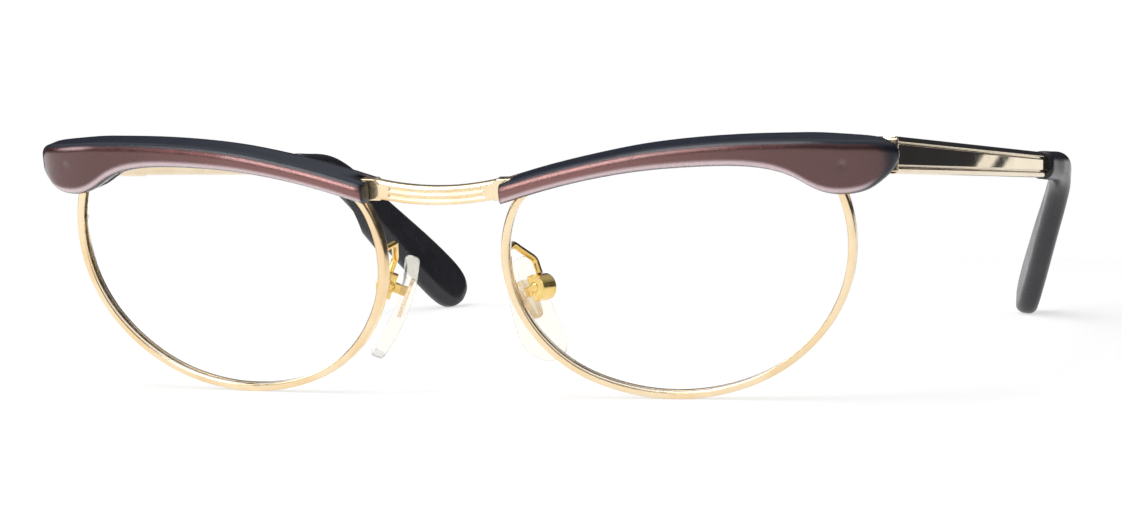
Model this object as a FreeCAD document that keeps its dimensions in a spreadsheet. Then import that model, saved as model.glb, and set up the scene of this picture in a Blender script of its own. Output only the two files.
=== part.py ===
import FreeCAD, Part
import math
import os
import Sketcher
from FreeCAD import Placement, Rotation, Vector

# Browline glasses, in millimetres. +X is the wearer's left, +Y points back along the temples
# and +Z is up. The origin is in the middle of the footprint, on the surface they stand on.
# The left half is modelled, and the right half is its mirror image in the plane X = 0.

SIZES = {
    # The front: where each rim plane lies, and how it is turned.
    "lens_centre_out": 29.86,
    "front_forward": 64.2,
    "lens_wrap": 5.16,
    "lens_tilt": 9.46,
    # The eyewires and the lenses.
    "rim_width": 52.2,
    "rim_height": 37.1,
    "rim_nose_edge": 20.8,
    "rim_top_up": 12.35,
    "temple_top_radius": 6.8,
    "nose_top_radius": 9.4,
    "nose_low_radius": 21.0,
    "temple_low_radius": 27.3,
    "rim_thickness": 1.1,
    "rim_depth": 2.0,
    "rim_edge_radius": 0.45,
    "groove_depth": 0.45,
    "groove_width": 1.1,
    "rim_slit": 0.3,
    "rim_split_up": 7.6,
    "lens_radius": 320.0,
    "lens_thickness": 1.25,
    "lens_set_back": 0.18,
    "bevel_clearance": 0.06,
    # The bridge.
    "bridge_span": 20.6,
    "bridge_radius": 46.0,
    "bridge_low": 4.35,
    "bridge_height": 2.8,
    "bridge_depth": 1.8,
    "bridge_end_length": 6.5,
    "bridge_end_low": 5.15,
    "bridge_end_height": 3.15,
    "bridge_groove_width": 0.45,
    "bridge_groove_depth": 0.35,
    "bridge_groove_span": 15.4,
    "bridge_edge_radius": 0.55,
    "bridge_end_lap": 1.4,
    # The brow pieces.
    "brow_low": 4.32,
    "brow_height": 9.21,
    "brow_overhang": 6.35,
    "brow_front": 3.1,
    "brow_rear": 3.4,
    "brow_top_radius": 1.1,
    "brow_low_radius": 1.65,
    "brow_rear_radius": 0.6,
    "brow_nose_end": -19.4,
    "seat_clearance": 0.08,
    # The end pieces and the closing blocks.
    "block_lap": 2.8,
    "block_reach": 2.1,
    "block_up": 3.1,
    "block_down": 1.6,
    "block_depth": 2.0,
    "lug_past": 1.6,
    "lug_width": 2.4,
    "lug_low": 6.5,
    "lug_height": 4.8,
    "lug_front_back": 1.85,
    "lug_end_back": 5.6,
    "lock_depth": 1.6,
    "butt_thickness": 0.6,
    "butt_height": 4.7,
    "butt_width": 5.4,
    # The screws.
    "screw_radius": 0.45,
    "screw_head_radius": 0.72,
    "screw_head_height": 0.5,
    "screw_slot": 0.22,
    "screw_clearance": 0.04,
    "rim_screw_past": 0.9,
    "rim_screw_length": 3.4,
    "brow_screw_bite": 1.7,
    "brow_screw_lap": 0.9,
    "brow_screw_up": 9.75,
    "brow_screw_facing": 132.9,
    "brow_screw_above": 0.9,
    # The hinges.
    "hinge_past": 1.17,
    "hinge_behind": 7.21,
    "hinge_up": 10.35,
    "knuckle_radius": 1.25,
    "knuckle_height": 1.4,
    "knuckle_gap": 0.1,
    "pivot_radius": 0.5,
    "pivot_head_radius": 0.95,
    "pivot_clearance": 0.05,
    "web_share": 0.7,
    "front_leaf_thickness": 0.75,
    "front_leaf_out": 1.7,
    "leaf_thickness": 0.85,
    "leaf_height": 3.6,
    "leaf_length": 7.5,
    # The temples.
    "temple_slope": 4.7,
    "temple_set_out": 2.3,
    "temple_thickness": 1.9,
    "temple_height": 5.35,
    "temple_end_height": 4.1,
    "temple_front_gap": 0.3,
    "temple_ahead": 2.9,
    "temple_length": 83.4,
    "temple_edge_radius": 0.8,
    "panel_groove_width": 0.35,
    "panel_groove_depth": 0.25,
    "panel_groove_inset": 0.85,
    "core_radius": 0.75,
    "core_clearance": 0.05,
    "core_lap": 1.5,
    "core_share": 0.55,
    # The temple tips.
    "tip_bend": 44.8,
    "tip_inward": 30.0,
    "tip_bend_at": 98.5,
    "tip_bend_radius": 16.0,
    "tip_thickness": 3.5,
    "tip_width": 4.5,
    "paddle_width": 8.4,
    "tip_round_share": 0.42,
    "tip_rest_up": 0.22,
    # The nose pads and what carries them.
    "pad_pin_past": 2.4,
    "pad_pin_behind": 6.7,
    "pad_pin_below": 6.11,
    "pad_splay": 22.0,
    "pad_lean": 22.0,
    "pad_length": 16.0,
    "pad_width": 8.4,
    "pad_thickness": 2.2,
    "pad_curve": 27.0,
    "pad_stand_off": 1.8,
    "pad_drop": 2.7,
    "pad_edge_radius": 0.7,
    "box_width": 2.8,
    "box_height": 3.8,
    "box_mouth": 0.7,
    "box_back": 1.9,
    "box_wall": 0.55,
    "box_round_share": 0.8,
    "pin_radius": 0.45,
    "pin_head_radius": 0.8,
    "pin_head_height": 0.35,
    "pin_head_share": 0.6,
    "lug_clearance": 0.1,
    "core_lug_radius": 1.0,
    "core_plate_length": 6.0,
    "core_plate_width": 3.6,
    "core_plate_thickness": 0.5,
    "core_plate_low_share": 0.65,
    "pad_top_share": 0.8,
    "arm_radius": 0.5,
    "arm_foot_facing": 174.97,
    "arm_reach": 2.9,
    "arm_bend_radius": 1.1,
    "arm_drop": 2.2,
    # Every cut runs past the solid by this much.
    "overrun": 6.0,
}

# The rim's outer edge is eight tangent arcs, sides and corners by turns, counter-clockwise from
# the temple side. These are the directions, in degrees, in which each arc begins to face.
RIM_ARC_STARTS = [-40, 23, 81, 108, 156, 198, 247, 288]
RIM_CORNERS = ["temple_top_radius", "nose_top_radius", "nose_low_radius", "temple_low_radius"]

# Stations along the brow: along the rim (0 at its nose edge, 1 at its temple edge, and up to 2 over the
# overhang), lower and upper edge (shares of brow_height), front (of brow_front) and rear (of brow_rear).
BROW_STATION_SHARES = [
    (-0.0230, 0.0000, 0.3285, 0.90, 0.97),
    (0.0441, 0.1094, 0.4292, 0.95, 0.99),
    (0.1782, 0.3168, 0.6238, 0.99, 1.00),
    (0.3410, 0.4969, 0.8091, 1.00, 1.00),
    (0.4943, 0.5844, 0.9295, 1.00, 1.00),
    (0.6475, 0.6061, 0.9868, 1.00, 1.00),
    (0.7625, 0.5569, 1.0000, 1.00, 1.00),
    (0.8582, 0.3717, 0.9944, 0.97, 1.03),
    (0.9349, 0.1424, 0.9731, 0.87, 1.08),
    (0.9923, 0.0985, 0.9404, 0.68, 1.13),
    (1.3300, 0.1352, 0.9120, 0.42, 1.14),
    (1.6400, 0.2480, 0.8680, 0.04, 1.14),
    (1.8450, 0.3680, 0.8050, -0.38, 1.10),
    (1.9500, 0.4800, 0.7400, -0.73, 1.04),
    (2.0000, 0.5600, 0.6750, -0.93, 0.98),
]

# The temple tip along its centre line: distance from the bend's end as a share of the tail,
# and width as a share of paddle_width. The last ones round the end off.
TIP_STATION_SHARES = [
    (0.00, 0.640), (0.30, 0.800), (0.60, 0.965), (0.80, 1.000), (0.90, 0.930),
    (0.96, 0.740), (0.99, 0.450),
]

# The tip's straight front: share of the way from the arm's end to the bend, and share of the way from
# tip_width to the tail's width; then round the bend: share of the turn, and the same share of width.
STRAIGHT_STATION_SHARES = [(0.00, 0.00), (0.33, 0.06), (0.67, 0.13)]
BEND_STATION_SHARES = [(0.00, 0.20), (0.33, 0.46), (0.67, 0.74)]

# Levels of the two grooves between the bridge's ribs, as shares of its height.
RIB_GAP_SHARES = [0.33, 0.67]

doc = FreeCAD.newDocument("browline_glasses")
sheet = doc.addObject("Spreadsheet::Sheet", "sizes")
for row, (alias, value) in enumerate(SIZES.items(), start=1):
    sheet.set(f"A{row}", alias)
    sheet.set(f"B{row}", str(value))
    sheet.setAlias(f"B{row}", alias)
doc.recompute()

X_AXIS = Vector(1, 0, 0)
Y_AXIS = Vector(0, 1, 0)
Z_AXIS = Vector(0, 0, 1)


def size(alias):
    """One named size from the sheet."""
    return float(sheet.get(alias))


def sin(degrees):
    """Sine of an angle in degrees."""
    return math.sin(math.radians(degrees))


def cos(degrees):
    """Cosine of an angle in degrees."""
    return math.cos(math.radians(degrees))


# Outlines

def facing(degrees):
    """Unit vector in the lens plane that faces a direction."""
    return Vector(cos(degrees), sin(degrees), 0)


def overlap_step(start, end, low, high):
    """Change of the facing vector over the part of an arc that lies between two directions."""
    first, last = max(start, low), min(end, high)
    return facing(last) - facing(first) if last > first else Vector()


def rim_radii():
    """Radii of the eight arcs: the corners are given, and the four sides close the outline at its size."""
    ends = RIM_ARC_STARTS[1:] + [RIM_ARC_STARTS[0] + 360]
    rows = []
    for start, end in zip(RIM_ARC_STARTS, ends):
        whole = facing(end) - facing(start)
        across = overlap_step(start, end, 0, 180).x
        down = overlap_step(start, end, 90, 270).y
        rows.append((whole.x, whole.y, -across, -down))
    wanted = [0, 0, size("rim_width"), size("rim_height")]
    corners = [size(name) for name in RIM_CORNERS]
    for row, radius in zip(rows[1::2], corners):
        wanted = [value - radius * step for value, step in zip(wanted, row)]
    sides_matrix = FreeCAD.Matrix(*[row[k] for k in range(4) for row in rows[0::2]])
    solved = sides_matrix.inverse().A
    sides = [sum(solved[4 * k + j] * wanted[j] for j in range(4)) for k in range(4)]
    return [radius for pair in zip(sides, corners) for radius in pair]


def rim_arcs():
    """The eight arcs as (centre, radius, start direction, end direction), round the middle of the rim."""
    ends = RIM_ARC_STARTS[1:] + [RIM_ARC_STARTS[0] + 360]
    point = Vector()
    arcs = []
    for radius, start, end in zip(rim_radii(), RIM_ARC_STARTS, ends):
        centre = point - facing(start) * radius
        arcs.append((centre, radius, start, end))
        point = centre + facing(end) * radius
    right = arcs[0][0].x + arcs[0][1]
    top = arcs[2][0].y + arcs[2][1]
    move = Vector(TEMPLE_EDGE - right, size("rim_top_up") - top, 0)
    return [(centre + move, radius, start, end) for centre, radius, start, end in arcs]


TEMPLE_EDGE = size("rim_width") - size("rim_nose_edge")
RIM_ARCS = rim_arcs()


def rim_outline(offset):
    """Arcs of the rim's outer edge, moved outwards by offset."""
    curves = []
    for centre, radius, start, end in RIM_ARCS:
        circle = Part.Circle(centre, Z_AXIS, radius + offset)
        curves.append(Part.ArcOfCircle(circle, math.radians(start), math.radians(end)))
    return curves


def rim_point(direction, offset):
    """Point of the rim's outer edge that faces a direction, moved outwards by offset."""
    for centre, radius, start, end in RIM_ARCS:
        if start <= direction <= end:
            return centre + facing(direction) * (radius + offset)


def polygon(points):
    """Closed run of straight lines through (x, y) points."""
    corners = [Vector(x, y, 0) for x, y in points]
    return [Part.LineSegment(a, b) for a, b in zip(corners, corners[1:] + corners[:1])]


def rectangle(left, low, right, high):
    """Closed rectangle between two corners."""
    return polygon([(left, low), (right, low), (right, high), (left, high)])


def rounded_quad(left, low, right, high, radii):
    """Rectangle with four corner radii, from the lower left corner counter-clockwise."""
    most_share = 0.45
    most = most_share * min(right - left, high - low)
    corners = [(left, low, 1, 1), (right, low, -1, 1), (right, high, -1, -1), (left, high, 1, -1)]
    arcs = []
    for index, ((x, y, inward_x, inward_y), radius) in enumerate(zip(corners, radii)):
        limited = min(radius, most)
        centre = Vector(x + inward_x * limited, y + inward_y * limited, 0)
        start = math.pi * (1 + index / 2)
        arcs.append(Part.ArcOfCircle(Part.Circle(centre, Z_AXIS, limited), start, start + math.pi / 2))
    curves = []
    for arc, following in zip(arcs, arcs[1:] + arcs[:1]):
        curves.append(arc)
        curves.append(Part.LineSegment(arc.EndPoint, following.StartPoint))
    return curves


# The frames that the pieces are modelled in

def lowest_rim_point():
    """How far below the middle of the lens the rim reaches once its plane is turned."""
    lowest = 0
    for curve in rim_outline(0):
        for share in (0, 0.25, 0.5, 0.75):
            point = curve.value(curve.FirstParameter + share * (curve.LastParameter - curve.FirstParameter))
            across = point.x * sin(size("lens_wrap")) * sin(size("lens_tilt"))
            lowest = min(lowest, point.y * cos(size("lens_tilt")) + across)
    return -lowest


STAND_HEIGHT = lowest_rim_point()
LENS_TURN = Rotation(X_AXIS, size("lens_tilt")) * Rotation(Z_AXIS, size("lens_wrap")) * Rotation(X_AXIS, 90)
LENS_PLACE = Placement(Vector(size("lens_centre_out"), -size("front_forward"), STAND_HEIGHT), LENS_TURN)
BRIDGE_TURN = Rotation(X_AXIS, 90 + size("lens_tilt"))
BRIDGE_PLACE = Placement(Vector(0, -size("front_forward"), STAND_HEIGHT), BRIDGE_TURN)

ALONG_TEMPLE = Vector(0, cos(size("temple_slope")), -sin(size("temple_slope")))
ACROSS_TEMPLE = Vector(0, sin(size("temple_slope")), cos(size("temple_slope")))
RIM_END = LENS_PLACE.multVec(Vector(TEMPLE_EDGE, 0, 0))
HINGE_POINT = Vector(
    RIM_END.x + size("hinge_past"), RIM_END.y + size("hinge_behind"), STAND_HEIGHT + size("hinge_up"))
TEMPLE_PLACE = Placement(HINGE_POINT, Rotation(ALONG_TEMPLE, ACROSS_TEMPLE, X_AXIS, "XYZ"))

PIN_LINE = Vector(-sin(size("pad_splay")), -cos(size("pad_splay")), 0)
NOSE_WARD = Vector(
    -cos(size("pad_splay")) * cos(size("pad_lean")),
    sin(size("pad_splay")) * cos(size("pad_lean")),
    -sin(size("pad_lean")))
WIRE_MIDDLE = rim_point(size("arm_foot_facing"), -size("rim_thickness") / 2)
ARM_FOOT = LENS_PLACE.multVec(WIRE_MIDDLE - Vector(0, 0, size("rim_depth")))
PIN_POINT = ARM_FOOT + Vector(size("pad_pin_past"), size("pad_pin_behind"), -size("pad_pin_below"))
PAD_PLACE = Placement(PIN_POINT, Rotation(PIN_LINE, NOSE_WARD.cross(PIN_LINE), NOSE_WARD, "XYZ"))


# Building blocks for bodies

def new_body(name, place):
    """An empty body in one of the frames."""
    body = doc.addObject("PartDesign::Body", name)
    body.Label = name
    body.Placement = place
    return body


def new_sketch(body, name, curves, role="XY_Plane", offset=Placement()):
    """A sketch of the curves on one of the body's own origin planes."""
    sketch = body.newObject("Sketcher::SketchObject", name)
    plane = next(feature for feature in body.Origin.OriginFeatures if feature.Role == role)
    sketch.AttachmentSupport = [(plane, "")]
    sketch.MapMode = "FlatFace"
    sketch.AttachmentOffset = offset
    sketch.addGeometry(curves, False)
    return sketch


def circle_sketch(body, name, centre, aliases, role="XY_Plane", offset=Placement()):
    """A sketch of one circle whose radius follows the sum of some cells of the sheet."""
    value = sum(size(alias) for alias in aliases)
    sketch = new_sketch(body, name, [Part.Circle(centre, Z_AXIS, value)], role, offset)
    sketch.addConstraint(Sketcher.Constraint("Radius", 0, value))
    sketch.setExpression("Constraints[0]", " + ".join(f"sizes.{alias}" for alias in aliases))
    return sketch


def shift(distance):
    """Move along a sketch plane's own normal."""
    return Placement(Vector(0, 0, distance), Rotation())


def pad(body, name, sketch, length):
    """Raise a sketch by a length that follows the sheet."""
    feature = body.newObject("PartDesign::Pad", name)
    feature.Profile = sketch
    feature.setExpression("Length", length)
    doc.recompute()
    return feature


def pocket(body, name, sketch, length):
    """Cut a sketch into the solid, against its normal, by a length that follows the sheet."""
    feature = body.newObject("PartDesign::Pocket", name)
    feature.Profile = sketch
    feature.setExpression("Length", length)
    doc.recompute()
    return feature


def revolve(body, name, sketch, cut=False):
    """Turn a sketch all the way round its own first axis line, as a solid or as a cut."""
    feature = body.newObject("PartDesign::Groove" if cut else "PartDesign::Revolution", name)
    feature.Profile = sketch
    feature.ReferenceAxis = (sketch, ["V_Axis"])
    feature.Angle = 360
    doc.recompute()
    return feature


def mirrored(source, name):
    """The other side's copy of a piece."""
    copy = doc.addObject("Part::Mirroring", name)
    copy.Label = name
    copy.Source = source
    copy.Base = Vector(0, 0, 0)
    copy.Normal = X_AXIS
    return copy


def add_pair(source):
    """Keep a left piece and its mirror image as two sub-parts."""
    right = mirrored(source, source.Label.replace("_left", "_right"))
    sub_parts.extend([source, right])


def add_group(name, sources):
    """Keep like pieces and their mirror images as one sub-part."""
    copies = [mirrored(source, f"{source.Label}_copy") for source in sources]
    group = doc.addObject("Part::Compound", name)
    group.Label = name
    group.Links = sources + copies
    sub_parts.append(group)


sub_parts = []

# Eyewire: a rounded, grooved wire round the lens, slit at the temple side

rim_left = new_body("rim_left", LENS_PLACE)
opening_arcs = rim_outline(-size("rim_thickness"))
rim_path = new_sketch(rim_left, "rim_path", opening_arcs)
deep = size("rim_depth")
thick = size("rim_thickness")
edge = size("rim_edge_radius")
groove_half = size("groove_width") / 2
section_lines = polygon([
    (0, -deep), (thick - edge, -deep), (thick, edge - deep), (thick, -edge), (thick - edge, 0), (0, 0),
    (0, groove_half - deep / 2), (size("groove_depth"), -deep / 2), (0, -groove_half - deep / 2)])
corner_low = Part.Circle(Vector(thick - edge, edge - deep, 0), Z_AXIS, edge)
corner_high = Part.Circle(Vector(thick - edge, -edge, 0), Z_AXIS, edge)
section_lines[1] = Part.ArcOfCircle(corner_low, -math.pi / 2, 0)
section_lines[3] = Part.ArcOfCircle(corner_high, 0, math.pi / 2)
section_turn = Rotation(facing(RIM_ARC_STARTS[0]), Z_AXIS, Vector(), "XYZ")
rim_section = new_sketch(
    rim_left, "rim_section", section_lines, offset=Placement(opening_arcs[0].StartPoint, section_turn))
rim_wire = rim_left.newObject("PartDesign::AdditivePipe", "rim_wire")
rim_wire.Profile = rim_section
rim_wire.Spine = (rim_path, [f"Edge{i + 1}" for i in range(len(opening_arcs))])
split = size("rim_split_up")
slit_half = size("rim_slit") / 2
block_in = TEMPLE_EDGE - size("block_lap")
block_out = TEMPLE_EDGE + size("block_reach")
over = size("overrun")
doc.recompute()
slit_sketch = new_sketch(
    rim_left, "slit_outline",
    rectangle(block_in - over / 2, split - slit_half, block_out, split + slit_half))
pocket(rim_left, "slit", slit_sketch, "sizes.rim_depth")
add_pair(rim_left)

# Lens: a thin meniscus, ground round to a bevel that sits in the rim's groove

lens_left = new_body("lens_left", LENS_PLACE)
lens_edge = -size("rim_thickness") - size("bevel_clearance")
blank = new_sketch(lens_left, "blank_outline", rim_outline(lens_edge), offset=shift(-deep - over))
pad(lens_left, "blank", blank, "sizes.rim_depth + 2 * sizes.overrun")
lens_middle = Vector(TEMPLE_EDGE - size("rim_width") / 2, size("rim_top_up") - size("rim_height") / 2, 0)
crown = -size("lens_set_back") + (size("rim_height") / 2) ** 2 / size("lens_radius") / 2
lens_turn_place = Placement(lens_middle, Rotation(X_AXIS, 90))
wide = size("rim_width")


def lens_face(name, top, outside):
    """Grind one spherical face: turn the area beyond its arc about the lens axis."""
    radius = size("lens_radius")
    drop = radius - math.sqrt(radius * radius - wide * wide)
    low, high = top - drop, top + outside
    centre = Vector(0, top - radius, 0)
    start, end = math.atan2(low - centre.y, wide), math.pi / 2
    arc = Part.ArcOfCircle(Part.Circle(centre, Z_AXIS, radius), start, end)
    lines = [
        Part.LineSegment(Vector(0, top, 0), Vector(0, high, 0)),
        Part.LineSegment(Vector(0, high, 0), Vector(wide, high, 0)),
        Part.LineSegment(Vector(wide, high, 0), Vector(wide, low, 0)),
    ]
    return new_sketch(lens_left, name, [arc] + lines, offset=lens_turn_place)


doc.recompute()
front_face = lens_face("front_curve", crown, 2 * over)
revolve(lens_left, "front_grind", front_face, cut=True)
rear_face = lens_face("rear_curve", crown - size("lens_thickness"), -size("rim_depth") - 2 * over)
revolve(lens_left, "rear_grind", rear_face, cut=True)
bevel_half = size("groove_width") / 2 - size("bevel_clearance")
bevel_reach = size("groove_depth") * bevel_half / groove_half
bevel_levels = [(bevel_half, 0), (0, bevel_reach), (-bevel_half, 0)]
bevel_sketches = [
    new_sketch(lens_left, f"bevel_{i}", rim_outline(lens_edge + reach), offset=shift(level - deep / 2))
    for i, (level, reach) in enumerate(bevel_levels)]
bevel = lens_left.newObject("PartDesign::AdditiveLoft", "bevel")
bevel.Profile = bevel_sketches[0]
bevel.Sections = bevel_sketches[1:]
bevel.Ruled = True
add_pair(lens_left)

# Bridge: a ribbed arch whose plain flared ends run into the brows and are soldered to the rims

SHANK_HOLE = ["screw_radius", "screw_clearance"]
HEAD_HOLE = ["screw_head_radius", "screw_clearance"]
seat = size("seat_clearance")
bridge = new_body("bridge", BRIDGE_PLACE)
arch_low = size("bridge_low")
arch_high = arch_low + size("bridge_height")
arch_middle = arch_low + size("bridge_radius")
rim_inset = size("lens_centre_out") - size("bridge_span") / 2
bridge_front = rim_inset * math.tan(math.radians(size("lens_wrap"))) - seat
bridge_back = bridge_front - size("bridge_depth")
bridge_edges = [size("bridge_edge_radius")] * 4
nose_screw = rim_point(size("brow_screw_facing"), size("brow_screw_above"))
temple_screw = Vector(TEMPLE_EDGE - size("brow_screw_lap"), size("brow_screw_up"), 0)


def turned_about_arch(name, curves, kind, span):
    """Turn a cross-section of the bridge about the axis of its arch, evenly to both sides."""
    sketch = new_sketch(bridge, f"{name}_section", curves, "YZ_Plane")
    axis = Part.LineSegment(Vector(arch_middle, bridge_back, 0), Vector(arch_middle, bridge_front, 0))
    sketch.addGeometry(axis, True)
    feature = bridge.newObject(kind, name)
    feature.Profile = sketch
    feature.ReferenceAxis = (sketch, ["Axis0"])
    feature.Midplane = True
    feature.Angle = 2 * math.degrees(math.asin(span / 2 / size("bridge_radius")))
    return feature


turned_about_arch(
    "arch", rounded_quad(arch_low, bridge_back, arch_high, bridge_front, bridge_edges),
    "PartDesign::Revolution", size("bridge_span"))
doc.recompute()
for index, height_share in enumerate(RIB_GAP_SHARES):
    level = arch_low + height_share * size("bridge_height")
    rib_gap = rectangle(
        level - size("bridge_groove_width") / 2, bridge_front - size("bridge_groove_depth"),
        level + size("bridge_groove_width") / 2, bridge_front + over)
    turned_about_arch(f"rib_gap_{index}", rib_gap, "PartDesign::Groove", size("bridge_groove_span"))
    doc.recompute()

end_out = -(rim_inset + size("bridge_end_lap")) / cos(size("lens_wrap"))
end_in = end_out + size("bridge_end_length")
end_low = size("bridge_end_low")
end_high = end_low + size("bridge_end_height")
end_corner = size("bridge_end_lap") / 2


def bridge_end_plane(side, level):
    """Placement of one rim's plane, seen from the bridge, moved by a level along its normal."""
    middle = Vector(side * size("lens_centre_out"), 0, 0)
    return Placement(middle, Rotation(Y_AXIS, side * size("lens_wrap"))) * shift(level)


def mirror_curves(curves, side):
    """Curves as they are for side 1, and mirrored across the Y axis for side -1."""
    if side > 0:
        return curves
    copies = [curve.copy() for curve in curves]
    for copy in copies:
        copy.mirror(Vector(), Y_AXIS)
    return copies


for side, word in ((1, "left"), (-1, "right")):
    end_outline = polygon([
        (side * end_out, end_low), (side * end_in, end_low), (side * end_in, end_high),
        (side * (end_out + end_corner), end_high), (side * end_out, end_high - end_corner)])
    end_sketch = new_sketch(bridge, f"end_{word}_outline", end_outline,
                            offset=bridge_end_plane(side, -seat - size("bridge_depth")))
    pad(bridge, f"end_{word}", end_sketch, "sizes.bridge_depth")
    rim_seat = new_sketch(bridge, f"rim_seat_{word}_outline", mirror_curves(rim_outline(0), side),
                          offset=bridge_end_plane(side, 0))
    pocket(bridge, f"rim_seat_{word}", rim_seat, "sizes.rim_depth + sizes.bridge_depth")
    hole_middle = Vector(side * nose_screw.x, nose_screw.y, 0)
    hole_sketch = circle_sketch(
        bridge, f"screw_hole_{word}_outline", hole_middle, SHANK_HOLE, offset=bridge_end_plane(side, 0))
    pocket(bridge, f"screw_hole_{word}", hole_sketch, "sizes.rim_depth + sizes.bridge_depth")
sub_parts.append(bridge)

# Brow: a lofted bar of laminated sheet, swelling at the temple, channelled to sit over the rim

brow_left = new_body("brow_left", LENS_PLACE)
rear_round = size("brow_rear_radius")
brow_rounds = [rear_round, rear_round, size("brow_top_radius"), size("brow_low_radius")]
brow_sketches = []
for index, (along, low, high, front, rear) in enumerate(BROW_STATION_SHARES):
    over_rim = min(along, 1) * size("rim_width") - size("rim_nose_edge")
    place = shift(over_rim + max(along - 1, 0) * size("brow_overhang"))
    bottom, top = (size("brow_low") + share * size("brow_height") for share in (low, high))
    section = rounded_quad(bottom, -rear * size("brow_rear"), top, front * size("brow_front"), brow_rounds)
    brow_sketches.append(new_sketch(brow_left, f"station_{index}", section, "YZ_Plane", place))
brow_bar = brow_left.newObject("PartDesign::AdditiveLoft", "bar")
brow_bar.Profile = brow_sketches[0]
brow_bar.Sections = brow_sketches[1:]
doc.recompute()
channel = new_sketch(brow_left, "channel_outline", rim_outline(seat), offset=shift(seat))
pocket(brow_left, "channel", channel, "sizes.rim_depth + 2 * sizes.seat_clearance")
bridge_slot = new_sketch(
    brow_left, "bridge_slot_outline",
    rectangle(end_out - over, end_low - over, end_in + seat, end_high + seat), offset=shift(seat))
pocket(brow_left, "bridge_slot", bridge_slot, "sizes.rim_depth + 2 * sizes.seat_clearance")
block_low = split - slit_half - size("block_down")
block_high = split + slit_half + size("block_up")
block_slot = new_sketch(
    brow_left, "block_slot_outline",
    rectangle(block_in - seat, block_low - over, block_out + seat, block_high + seat))
pocket(brow_left, "block_slot", block_slot, "sizes.block_depth + sizes.overrun")
lug_in = TEMPLE_EDGE + size("lug_past")
lug_out = lug_in + size("lug_width")
lug_high = size("lug_low") + size("lug_height")
lug_front = size("lug_front_back")
lug_slot = new_sketch(
    brow_left, "lug_slot_outline",
    rectangle(block_in - seat, size("lug_low") - seat, lug_out + seat, lug_high + seat),
    offset=shift(seat - lug_front))
pocket(brow_left, "lug_slot", lug_slot, "sizes.lug_end_back + sizes.overrun")
nose_cut = new_sketch(
    brow_left, "nose_cut_outline",
    rectangle(size("brow_nose_end") - over, -over, size("brow_nose_end"), size("rim_height")),
    offset=shift(size("brow_front") + over))
pocket(brow_left, "nose_cut", nose_cut, "sizes.brow_front + sizes.brow_rear + 2 * sizes.overrun")
head_sketch = circle_sketch(
    brow_left, "head_hole_outline", nose_screw, HEAD_HOLE, offset=shift(-size("rim_depth")))
pocket(brow_left, "head_hole", head_sketch, "sizes.brow_rear")
bite = shift(size("brow_screw_bite") + size("screw_clearance"))
for word, middle in (("nose", nose_screw), ("temple", temple_screw)):
    thread_sketch = circle_sketch(brow_left, f"{word}_thread_outline", middle, SHANK_HOLE, offset=bite)
    pocket(brow_left, f"{word}_thread", thread_sketch, "sizes.brow_screw_bite + sizes.seat_clearance")
add_pair(brow_left)

# End piece: the upper closing block of the rim, the lug behind the brow and the butt plate

end_body = new_body("end_block_left", LENS_PLACE)
block_back = seat + size("block_depth")
block_sketch = new_sketch(
    end_body, "block_outline",
    rectangle(block_in, split + slit_half, block_out, block_high), offset=shift(-block_back))
pad(end_body, "block", block_sketch, "sizes.block_depth")
lug_sketch = new_sketch(
    end_body, "lug_outline", rectangle(lug_in, size("lug_low"), lug_out, lug_high),
    offset=shift(-size("lug_end_back")))
pad(end_body, "lug", lug_sketch, "sizes.lug_end_back - sizes.lug_front_back")
block_rim = new_sketch(end_body, "block_rim_outline", rim_outline(0))
pocket(end_body, "block_rim_seat", block_rim, "sizes.block_depth + sizes.rim_depth")
screw_level = -seat - size("lock_depth") / 2
rim_screw_out = TEMPLE_EDGE + size("rim_screw_past")
rim_screw_middle = Vector(rim_screw_out, screw_level, 0)
thread_up = circle_sketch(
    end_body, "rim_thread_outline", rim_screw_middle, SHANK_HOLE, "XZ_Plane", shift(-split))
pocket(end_body, "rim_thread", thread_up, "sizes.rim_screw_length")
brow_hole = circle_sketch(end_body, "brow_hole_outline", temple_screw, SHANK_HOLE)
pocket(end_body, "brow_hole", brow_hole, "sizes.block_depth + sizes.rim_depth")
butt_out = size("temple_set_out") + size("temple_thickness")
butt_back = -size("temple_ahead") - size("temple_front_gap")
butt = doc.addObject("Part::Box", "butt_left")
butt.setExpression("Length", "sizes.butt_thickness")
butt.setExpression("Width", "sizes.butt_height")
butt.setExpression("Height", "sizes.butt_width")
butt_corner = Vector(
    butt_back - size("butt_thickness"), -size("butt_height") / 2, butt_out - size("butt_width"))
butt.Placement = TEMPLE_PLACE * Placement(butt_corner, Rotation())
behind_butt = doc.addObject("Part::Box", "behind_butt")
for side_length in ("Length", "Width", "Height"):
    behind_butt.setExpression(side_length, "2 * sizes.overrun")
behind_butt.Placement = TEMPLE_PLACE * Placement(Vector(butt_back, -over, -over), Rotation())
flush_block = doc.addObject("Part::Cut", "flush_block")
flush_block.Base = end_body
flush_block.Tool = behind_butt
end_piece_left = doc.addObject("Part::Fuse", "end_piece_left")
end_piece_left.Label = "end_piece_left"
end_piece_left.Base = flush_block
end_piece_left.Tool = butt
add_pair(end_piece_left)

# Rim lock: the lower closing block, drawn up to the end piece by the rim screw

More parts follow.
